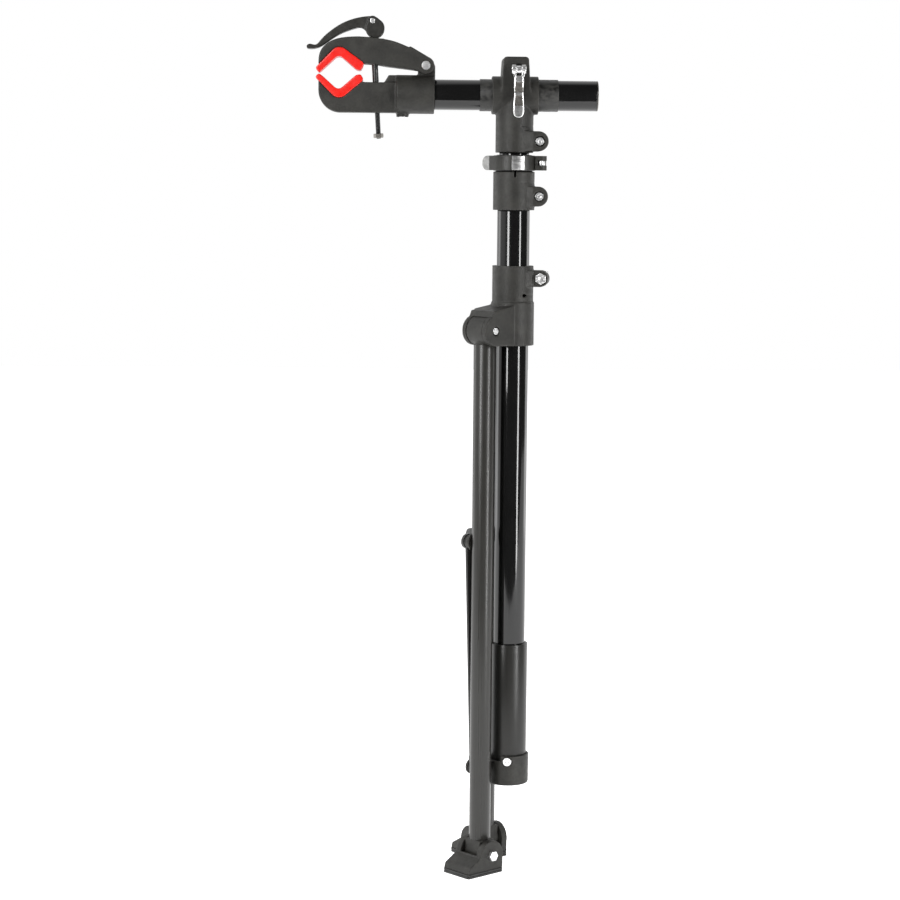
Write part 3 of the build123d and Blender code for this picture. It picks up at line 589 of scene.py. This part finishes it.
class STAND_OT_castings(bpy.types.Operator):
    """Make the head, the post's sockets, the hub and the base cap with moulded edges"""
    bl_idname = "stand.castings"
    bl_label = "Castings"

    def execute(self, context):
        detail = context.scene.stand_detail
        for node in ("head_casting", "post_socket", "leg_hub", "base_cap"):
            for_node(node, softened(copied(node), detail.cast_voxel, 1), sharp=70)
        return {"FINISHED"}


class STAND_OT_jaws(bpy.types.Operator):
    """Make the two jaws, their red pads and the cam lever"""
    bl_idname = "stand.jaws"
    bl_label = "Jaws"

    def execute(self, context):
        detail = context.scene.stand_detail
        for node in ("upper_jaw", "lower_jaw"):
            for_node(node, softened(copied(node), detail.cast_voxel, 2), sharp=70)
        for node, passes in (("upper_jaw_pad", 22), ("lower_jaw_pad", 22), ("clamp_lever", 6)):
            for_node(node, softened(copied(node), detail.small_voxel, passes), sharp=70)
        self.make_rod()
        return {"FINISHED"}

    def make_rod(self):
        """The clamp rod: a smooth shank through the upper jaw, a thread below it."""
        pin, axis = pivot("rod_turn"), Vector(JOINTS["rod_turn"]["axis"])
        low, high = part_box("clamp_rod")
        shank, thread, root, pitch, chamfer = 3.6 * MM, 3.0 * MM, 2.55 * MM, 1.25 * MM, 0.6 * MM
        top, shoulder, run_out = 5.2 * MM, 15 * MM, 70 * MM
        end = (high - low).z / abs(axis.z) + top
        smooth = spun([(0, top), (thread - chamfer, top), (thread, top + chamfer),
                       (thread, shoulder), (shank, shoulder + chamfer),
                       (shank, run_out - chamfer), (thread, run_out),
                       (root, run_out + 2 * MM), (0, run_out + 2 * MM)], pin, axis, steps=40)
        screw = threaded(thread, root, pitch, run_out, end, pin, axis)
        for_node("clamp_rod", joined(smooth, screw))
        nut = hex_prism(10 * MM, end - 6 * MM, end - 1 * MM, pin, axis, 0.7 * MM)
        tip = spun([(0, end - 1 * MM), (2.6 * MM, end - 1 * MM), (2.2 * MM, end), (0, end)],
                   pin, axis, steps=32)
        for_node("clamp_rod_nut", joined(nut, tip), finish="dull_steel")


class STAND_OT_levers(bpy.types.Operator):
    """Make the quick-release levers and the collar's wrap-round lever"""
    bl_idname = "stand.levers"
    bl_label = "Levers"

    def execute(self, context):
        head = Matrix.Translation(pivot("head_lever_pivot"))
        hub = (Matrix.Translation(pivot("hub_lever_pivot")) @ Matrix.Rotation(HUB_YAW, 4, "Z")
               @ Matrix.Rotation(math.pi, 4, "X") @ Matrix.Rotation(math.pi / 2, 4, "Y"))
        for node, place, length, lift in (("head_lever", head, 54.6, 1.0),
                                          ("hub_lever", hub, 56.0, 7.5)):
            lever = for_node(node, self.quick_lever(place, length * MM, lift * MM), sharp=28)
            lever.data.materials.append(MATERIALS["dull_steel"])
        self.make_collar_lever()
        return {"FINISHED"}

    def quick_lever(self, place, length, lift):
        """A forked lever about its pin: two knurled cheeks and a handle with sunk panels."""
        handle = bmesh.new()
        # share of the length, half width, share of the lift, half depth
        stations = ((0.13, 4.4, 0.1, 2.3), (0.19, 5.6, 0.45, 2.6), (0.265, 5.8, 0.8, 2.6),
                    (0.375, 5.6, 0.9, 2.5), (0.485, 5.5, 1.0, 2.4), (0.54, 5.7, 1.0, 2.2),
                    (0.65, 6.0, 1.0, 2.1), (0.76, 6.3, 1.0, 2.0), (0.87, 6.4, 1.0, 1.9),
                    (0.94, 5.6, 1.0, 1.8), (0.98, 4.0, 1.0, 1.5), (1.0, 1.8, 1.0, 1.0))
        squareness, half_panel = 0.45, 4.6 * MM
        loops = []
        for share, half, lifted, depth in stations:
            ring = bmesh.ops.create_circle(handle, cap_ends=False, segments=32, radius=1.0)["verts"]
            for vert in ring:
                angle = math.atan2(vert.co.y, vert.co.x)
                across, deep = math.cos(angle), math.sin(angle)
                vert.co = Vector((math.copysign(abs(across) ** squareness, across) * half * MM,
                                  math.copysign(abs(deep) ** squareness, deep) * depth * MM
                                  - lift * lifted, -share * length))
            loops.append({edge for vert in ring for edge in vert.link_edges})
        for one, two in zip(loops, loops[1:]):
            bmesh.ops.bridge_loops(handle, edges=list(one | two))
        closed(handle)
        for top, bottom in ((0.265, 0.485), (0.54, 0.76)):
            panel = [f for f in handle.faces if f.normal.y < -0.85
                     and -bottom * length < f.calc_center_median().z < -top * length
                     and abs(f.calc_center_median().x) < half_panel]
            bmesh.ops.inset_region(handle, faces=panel, thickness=0.5 * MM, use_even_offset=True)
            sunk = {vert for face in panel for vert in face.verts}
            bmesh.ops.translate(handle, verts=list(sunk), vec=Y * 1.1 * MM)
            for face in panel:
                face.material_index = 1
        parts = [handle]
        for side in (-1, 1):
            low, high = sorted((side * 3.2 * MM, side * 8.0 * MM))
            parts.append(knurled(5.4 * MM, low, high, (0, 0, 0), X, 36))
            arm = bmesh.new()
            bmesh.ops.create_cube(arm, size=1.0, matrix=Matrix.Translation(
                (side * 4.7 * MM, -0.4 * MM - lift * 0.3, -0.085 * length))
                @ Matrix.Diagonal((2.8 * MM, 5.2 * MM, 0.15 * length, 1)))
            bmesh.ops.bevel(arm, geom=arm.edges[:], offset=0.6 * MM, segments=2, profile=0.5,
                            affect="EDGES", clamp_overlap=True, material=-1)
            parts.append(arm)
        bm = joined(*parts)
        bmesh.ops.transform(bm, matrix=place, verts=bm.verts)
        return bm

    def make_collar_lever(self):
        """One polished lever painted in tones of reflection: a dark band as painted dark reflection,
        a polished patch as painted highlight and a polished thumb tip in darker alloy as painted
        reflection.
        """
        low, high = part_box("collar_lever")
        leave = math.radians(-143)              # where the tip leaves the band
        band_radius, tip_start, voxel = 27 * MM, 11.2 * MM, 0.3 * MM
        outward = Vector((math.cos(leave), math.sin(leave), 0))
        along = Vector((math.sin(leave), -math.cos(leave), 0))
        cut = outward * band_radius + along * tip_start
        # painted dark reflection: the band takes the dark moulded-lever finish where the polished
        # lever reflects dark surroundings
        band = kept_side(softened(copied("collar_lever"), voxel, 2), cut, -along)
        for_node("collar_lever", band, finish="cam_lever_black", sharp=60)
        # painted reflection: the thumb tip takes a darker, rougher alloy than the rest of the
        # polished lever
        tip = kept_side(softened(copied("collar_lever"), voxel, 2), cut, along)
        add_piece("collar_lever_tip", tip, "collar_lever", "satin_alloy",
                  sharp=60)
        # painted highlight: a polished patch on the band stands for a bright reflection on the
        # polished lever
        face, sunk, edge = 28.6 * MM, 0.4 * MM, 0.3 * MM
        foot, head = low.z + 0.5 * MM, high.z - 0.5 * MM
        profile = [(face - sunk, foot), (face + 0.1 * MM, foot), (face + sunk, foot + edge),
                   (face + sunk, head - edge), (face + 0.1 * MM, head), (face - sunk, head)]
        start, reach = math.radians(-99), math.radians(29)
        painted_highlight = spun(profile, axis=Z, looped=True, steps=24, angle=reach,
                      start=(math.cos(start), math.sin(start), 0))
        add_piece("collar_lever_painted_highlight", painted_highlight, "collar_lever", "silver_lever")


class STAND_OT_fasteners(bpy.types.Operator):
    """Make the screws, nuts, pins and rivets"""
    bl_idname = "stand.fasteners"
    bl_label = "Fasteners"

    def execute(self, context):
        detail = context.scene.stand_detail
        for node in ("base_cap_screw", "jaw_hinge_pin", "leg_pins", "strut_pins",
                     "clamp_lever_pin", "arm_socket_screw", "stem_bolt", "socket_bolt"):
            for_node(node, softened(copied(node), detail.fine_voxel, 3), sharp=60)
        for node in ("stem_nut", "socket_nut", "hub_nut", "collar_nut"):
            for_node(node, crisp(node, 0.45 * MM), sharp=24)
        for side in SIDES:
            for_node(side + "_foot_bolt", softened(copied(side + "_foot_bolt"), 0.28 * MM, 3),
                     sharp=60)
        low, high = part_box("head_nut")
        middle, radius = (low + high) / 2, (high.x - low.x) / 2
        knob = knurled(radius, low.y, high.y, (middle.x, 0, middle.z), Y, 72)
        for_node("head_nut", knob)
        for node in ("head_skewer", "hub_skewer", "head_cam_cup", "hub_cam_cup", "head_cam_pin",
                     "hub_cam_pin", "collar_cam_pin", "collar_bolt", "cam_barrel", "cam_saddle"):
            for_node(node, crisp(node))
        return {"FINISHED"}


class STAND_OT_legs(bpy.types.Operator):
    """Make the folded legs, their knuckles and brackets, the struts and the collar"""
    bl_idname = "stand.legs"
    bl_label = "Legs"

    def execute(self, context):
        detail = context.scene.stand_detail
        for side in SIDES:
            node = side + "_leg_tube"
            low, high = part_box(node)
            middle, outer = (low + high) / 2, (high.x - low.x) / 2
            for_node(node, pipe(outer, outer - 1.2 * MM, low.z, high.z, (middle.x, middle.y, 0)))
            for part in ("_leg_knuckle", "_leg_bracket", "_leg_end"):
                for_node(side + part, softened(copied(side + part), detail.cast_voxel, 2), sharp=70)
            for_node(side + "_strut", crisp(side + "_strut", 0.5 * MM))
        for_node("height_collar", softened(copied("height_collar"), detail.small_voxel, 2), sharp=70)
        return {"FINISHED"}


class STAND_OT_feet(bpy.types.Operator):
    """Make the swivelling feet and their ribbed rubber soles"""
    bl_idname = "stand.feet"
    bl_label = "Feet"

    def execute(self, context):
        for side in SIDES:
            shell = softened(copied(side + "_foot_shell"), 0.55 * MM, 3)
            for_node(side + "_foot_shell", shell, sharp=70)
            for_node(side + "_foot_sole", self.sole(side + "_foot_sole"), sharp=30)
        return {"FINISHED"}

    def sole(self, node):
        """A rubber tread: grooves across its underside and a groove round its edge."""
        low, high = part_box(node)
        bm = copied(node)
        bmesh.ops.dissolve_limit(bm, angle_limit=FLAT, verts=bm.verts, edges=bm.edges)
        upper = [f for f in bm.faces if f.calc_center_median().z > low.z + 0.1 * MM]
        bmesh.ops.delete(bm, geom=upper, context="FACES")
        base = bm.faces[:]
        middle = base[0].calc_center_median()
        corners = [v.co for v in base[0].verts]
        radial = Vector((middle.x, middle.y, 0)).normalized()
        reach = max((c - middle).dot(radial) for c in corners)
        # height and inset of each ring of the edge, in millimetres
        levels = ((0.7, 0.0), (2.1, 0.0), (2.4, 0.9), (2.8, 0.9), (3.1, 0.0), (4.5, 0.0),
                  (5.0, 0.6))
        edges = [e for e in bm.edges if e.is_boundary]
        scale = 1.0
        for lift, inset in levels:
            grown = bmesh.ops.extrude_edge_only(bm, edges=edges)["geom"]
            verts = [v for v in grown if isinstance(v, bmesh.types.BMVert)]
            edges = [e for e in grown if isinstance(e, bmesh.types.BMEdge)
                     and all(v in verts for v in e.verts)]
            target = 1.0 - inset * MM / reach
            for vert in verts:
                flat = (vert.co - middle) * (target / scale)
                vert.co = Vector((middle.x + flat.x, middle.y + flat.y, low.z + lift * MM))
            scale = target
        closed(bm)
        half_strips = 8
        for step in range(1 - half_strips, half_strips):
            under = [f for f in bm.faces if f.normal.z < -0.9]
            lines = list({e for f in under for e in f.edges})
            points = list({v for f in under for v in f.verts})
            bmesh.ops.bisect_plane(bm, geom=under + lines + points, plane_no=radial,
                                   plane_co=middle + radial * step * reach / half_strips)
        width = reach / half_strips
        strips = [f for f in bm.faces if f.normal.z < -0.9
                  and round((f.calc_center_median() - middle).dot(radial) / width - 0.5) % 2]
        bmesh.ops.inset_individual(bm, faces=strips, thickness=0.8 * MM, use_even_offset=True)
        bmesh.ops.translate(bm, verts=list({v for f in strips for v in f.verts}), vec=Z * 1.2 * MM)
        return bm


# name, azimuth and lift in degrees, distance, width and height in metres, watts
SOFTBOXES = (
    ("softbox_left", -39, 24, 1.9, 0.40, 1.4, 30.0),
    ("softbox_right", 47, -4, 1.9, 0.30, 3.2, 54.0),
    ("rim_left", -118, 10, 2.2, 0.9, 2.2, 12.0),
    ("rim_right", 122, 10, 2.2, 0.9, 2.2, 12.0),
)
WALL_MIDDLE = (-0.52, 0.85, 0.0)            # where the white walls are centred
WALL_RAMP = (-0.20, 0.25, 0.070, 0.95)     # from, to along that direction; dark, light
FLOOR_FRONT = -0.95                        # the floor ends here, in metres in front


class STAND_OT_stage(bpy.types.Operator):
    """Set the floor, the lights, the background and the camera"""
    bl_idname = "stand.stage"
    bl_label = "Studio"

    def execute(self, context):
        floor_z = CAD_BOX[0][2]
        self.make_floor(floor_z)
        self.make_camera(context, floor_z)
        self.make_lights(context)
        self.make_world(context)
        return {"FINISHED"}

    def make_floor(self, floor_z):
        bm = bmesh.new()
        corners = [bm.verts.new((x, y, floor_z - 0.2 * MM))
                   for x, y in ((-6, FLOOR_FRONT), (6, FLOOR_FRONT), (6, 8), (-6, 8))]
        bm.faces.new(corners)
        mesh = bpy.data.meshes.new("studio_floor")
        bm.to_mesh(mesh)
        bm.free()
        floor = bpy.data.objects.new("studio_floor", mesh)
        bpy.context.scene.collection.objects.link(floor)
        paint = Finish("studio_floor", (0.80, 0.80, 0.80), 0.95)
        paint.bsdf.inputs["Emission Color"].default_value = (1, 1, 1, 1)
        paint.bsdf.inputs["Emission Strength"].default_value = 0.9
        mesh.materials.append(paint.material)

    def make_camera(self, context, floor_z):
        stage = context.scene.stand_stage
        lens = bpy.data.cameras.new("camera")
        lens.lens = stage.lens
        lens.sensor_width = 36
        camera = bpy.data.objects.new("camera", lens)
        context.scene.collection.objects.link(camera)
        outward = Vector((math.sin(stage.azimuth), -math.cos(stage.azimuth), 0))
        aim = Matrix.Rotation(stage.aside, 3, "Z") @ -outward
        aim = (aim * math.cos(stage.down) - Z * math.sin(stage.down)).normalized()
        facing = aim.to_track_quat("-Z", "Y").to_matrix()
        facing = Matrix.Rotation(stage.roll, 3, aim).inverted() @ facing
        camera.matrix_world = (Matrix.Translation(outward * stage.distance
                                                  + Z * (floor_z + stage.height))
                               @ facing.to_4x4())
        context.scene.camera = camera

    def make_lights(self, context):
        middle = Vector((0, 0, 0.42))
        for name, azimuth, lift, away, width, height, power in SOFTBOXES:
            light = bpy.data.lights.new(name, "AREA")
            light.shape = "RECTANGLE"
            light.size, light.size_y = width, height
            light.energy = power
            turn, up = math.radians(azimuth), math.radians(lift)
            outward = Vector((math.sin(turn) * math.cos(up), -math.cos(turn) * math.cos(up),
                              math.sin(up)))
            lamp = bpy.data.objects.new(name, light)
            context.scene.collection.objects.link(lamp)
            lamp.matrix_world = (Matrix.Translation(middle + outward * away)
                                 @ (-outward).to_track_quat("-Z", "Y").to_matrix().to_4x4())

    def make_world(self, context):
        """White walls behind and to the left, a dark room in front, and a white backdrop."""
        world = bpy.data.worlds.new("studio")
        world.use_nodes = True
        nodes, links = world.node_tree.nodes, world.node_tree.links
        surface = nodes["Background"]
        towards = nodes.new("ShaderNodeVectorMath")
        towards.operation = "DOT_PRODUCT"
        links.new(nodes.new("ShaderNodeTexCoord").outputs["Generated"], towards.inputs[0])
        towards.inputs[1].default_value = WALL_MIDDLE
        ramp = nodes.new("ShaderNodeMapRange")
        ramp.interpolation_type = "SMOOTHSTEP"
        for slot, number in zip(("From Min", "From Max", "To Min", "To Max"), WALL_RAMP):
            ramp.inputs[slot].default_value = number
        links.new(towards.outputs["Value"], ramp.inputs["Value"])
        links.new(ramp.outputs["Result"], surface.inputs["Strength"])
        surface.inputs["Color"].default_value = (1, 1, 1, 1)
        backdrop = nodes.new("ShaderNodeBackground")
        backdrop.inputs["Color"].default_value = (1, 1, 1, 1)
        rays = nodes.new("ShaderNodeLightPath")
        mix = nodes.new("ShaderNodeMixShader")
        links.new(rays.outputs["Is Camera Ray"], mix.inputs["Fac"])
        links.new(surface.outputs["Background"], mix.inputs[1])
        links.new(backdrop.outputs["Background"], mix.inputs[2])
        links.new(mix.outputs["Shader"], nodes["World Output"].inputs["Surface"])
        context.scene.world = world
        context.scene.view_settings.view_transform = "Standard"


OPERATORS = (STAND_OT_post, STAND_OT_arm, STAND_OT_castings, STAND_OT_jaws, STAND_OT_levers,
             STAND_OT_fasteners, STAND_OT_legs, STAND_OT_feet, STAND_OT_stage)


class STAND_PT_panel(bpy.types.Panel):
    """Lists the stand's pieces and sizes"""
    bl_idname = "STAND_PT_panel"
    bl_label = "Repair stand"
    bl_space_type = "VIEW_3D"
    bl_region_type = "UI"
    bl_category = "Stand"

    def draw(self, context):
        for operator in OPERATORS:
            self.layout.operator(operator.bl_idname, text=operator.bl_label)
        for name, group in GROUPS.items():
            box = self.layout.box()
            for field in group.__annotations__:
                box.prop(getattr(context.scene, name), field)


GROUPS = {"stand_colours": StandColours, "stand_detail": StandDetail, "stand_stage": StandStage}


def register():
    for group in GROUPS.values():
        bpy.utils.register_class(group)
    for operator in OPERATORS:
        bpy.utils.register_class(operator)
    bpy.utils.register_class(STAND_PT_panel)
    for name, group in GROUPS.items():
        setattr(bpy.types.Scene, name, bpy.props.PointerProperty(type=group))


def unregister():
    for name in GROUPS:
        delattr(bpy.types.Scene, name)
    for part in (STAND_PT_panel, *OPERATORS, *GROUPS.values()):
        bpy.utils.unregister_class(part)


def main():
    register()
    MATERIALS.update(make_materials())
    for operator in OPERATORS:
        category, name = operator.bl_idname.split(".")
        getattr(getattr(bpy.ops, category), name)()


if __name__ == "__main__":
    main()
